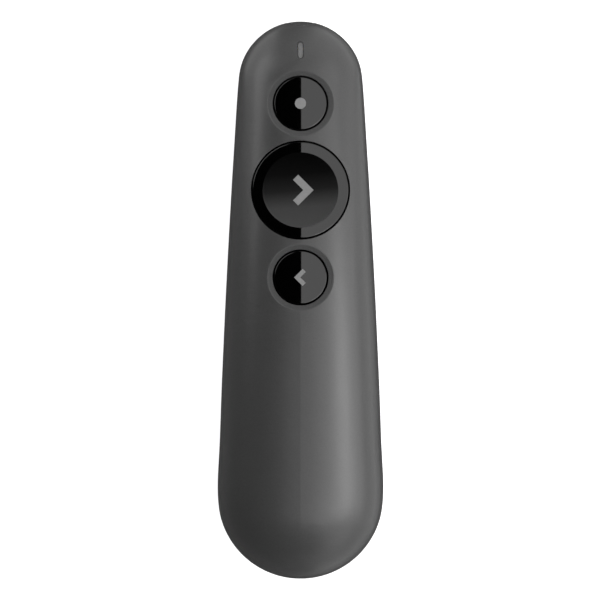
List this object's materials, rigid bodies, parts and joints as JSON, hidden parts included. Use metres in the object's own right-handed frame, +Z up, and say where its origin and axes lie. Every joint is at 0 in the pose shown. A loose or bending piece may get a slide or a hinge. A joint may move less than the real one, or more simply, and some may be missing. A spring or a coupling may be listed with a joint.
{
  "type": "wireless presentation clicker",
  "caption": "Hand-held wireless presentation clicker: a pebble-shaped two-part casing with round push buttons, a laser nose, a docked USB receiver and a belly battery door.",
  "frame": {"origin": "on the table under the middle of the body, on its line of symmetry", "axes": "+Y towards the nose where the laser leaves, +Z up through the buttons, +X to the right"},
  "size_m": [0.0388, 0.1309, 0.027],
  "materials": {
    "casing_plastic": "satin",
    "belly_plastic": "matte",
    "key_plastic": "gloss",
    "plunger_plastic": "matte",
    "switch_plastic": "matte",
    "clear_window": "polished",
    "diffuser": "frosted",
    "brass": "turned",
    "plated_steel": "plated",
    "board_laminate": "soldermask",
    "chip_plastic": "matte",
    "cell_sleeve": "gloss",
    "lead_insulation": "matte",
    "screw_steel": "blackened",
    "tongue_plastic": "matte",
    "gilt": "gold plated"
  },
  "bodies": {
    "casing": {"upper_housing": "casing_plastic", "lower_housing": "belly_plastic", "laser_window": "clear_window", "light_pipe": "diffuser", "laser_barrel": "brass", "laser_lens": "clear_window", "laser_diode": "plated_steel", "main_board": "board_laminate", "laser_switch": "switch_plastic", "next_switch": "switch_plastic", "back_switch": "switch_plastic", "radio_chip": "chip_plastic", "crystal": "plated_steel", "status_led": "diffuser", "battery_cell": "cell_sleeve", "negative_spring": "plated_steel", "negative_contact": "plated_steel", "positive_contact": "plated_steel", "negative_lead": "lead_insulation", "housing_screws": "screw_steel", "board_screws": "screw_steel"},
    "laser_key": {"laser_button": "key_plastic", "laser_plunger": "plunger_plastic"},
    "next_key": {"next_button": "key_plastic", "next_plunger": "plunger_plastic"},
    "back_key": {"back_button": "key_plastic", "back_plunger": "plunger_plastic"},
    "receiver": {"receiver_cap": "casing_plastic", "receiver_shell": "plated_steel", "receiver_tongue": "tongue_plastic", "receiver_contacts": "gilt"},
    "door": {"battery_door": "belly_plastic"}
  },
  "joints": [
    {"name": "laser_press", "type": "slide", "parent": "casing", "child": "laser_key", "axis": [0, 0, -1], "range_m": [0, 0.0005], "stiffness_N_per_m": 3200},
    {"name": "next_press", "type": "slide", "parent": "casing", "child": "next_key", "axis": [0, 0, -1], "range_m": [0, 0.0005], "stiffness_N_per_m": 3600},
    {"name": "back_press", "type": "slide", "parent": "casing", "child": "back_key", "axis": [0, 0, -1], "range_m": [0, 0.0005], "stiffness_N_per_m": 3200},
    {"name": "receiver_pull", "type": "slide", "parent": "casing", "child": "receiver", "axis": [0, -1, 0], "range_m": [0, 0.024]},
    {"name": "door_lift", "type": "slide", "parent": "casing", "child": "door", "axis": [0, 0, -1], "range_m": [0, 0.012]}
  ]
}
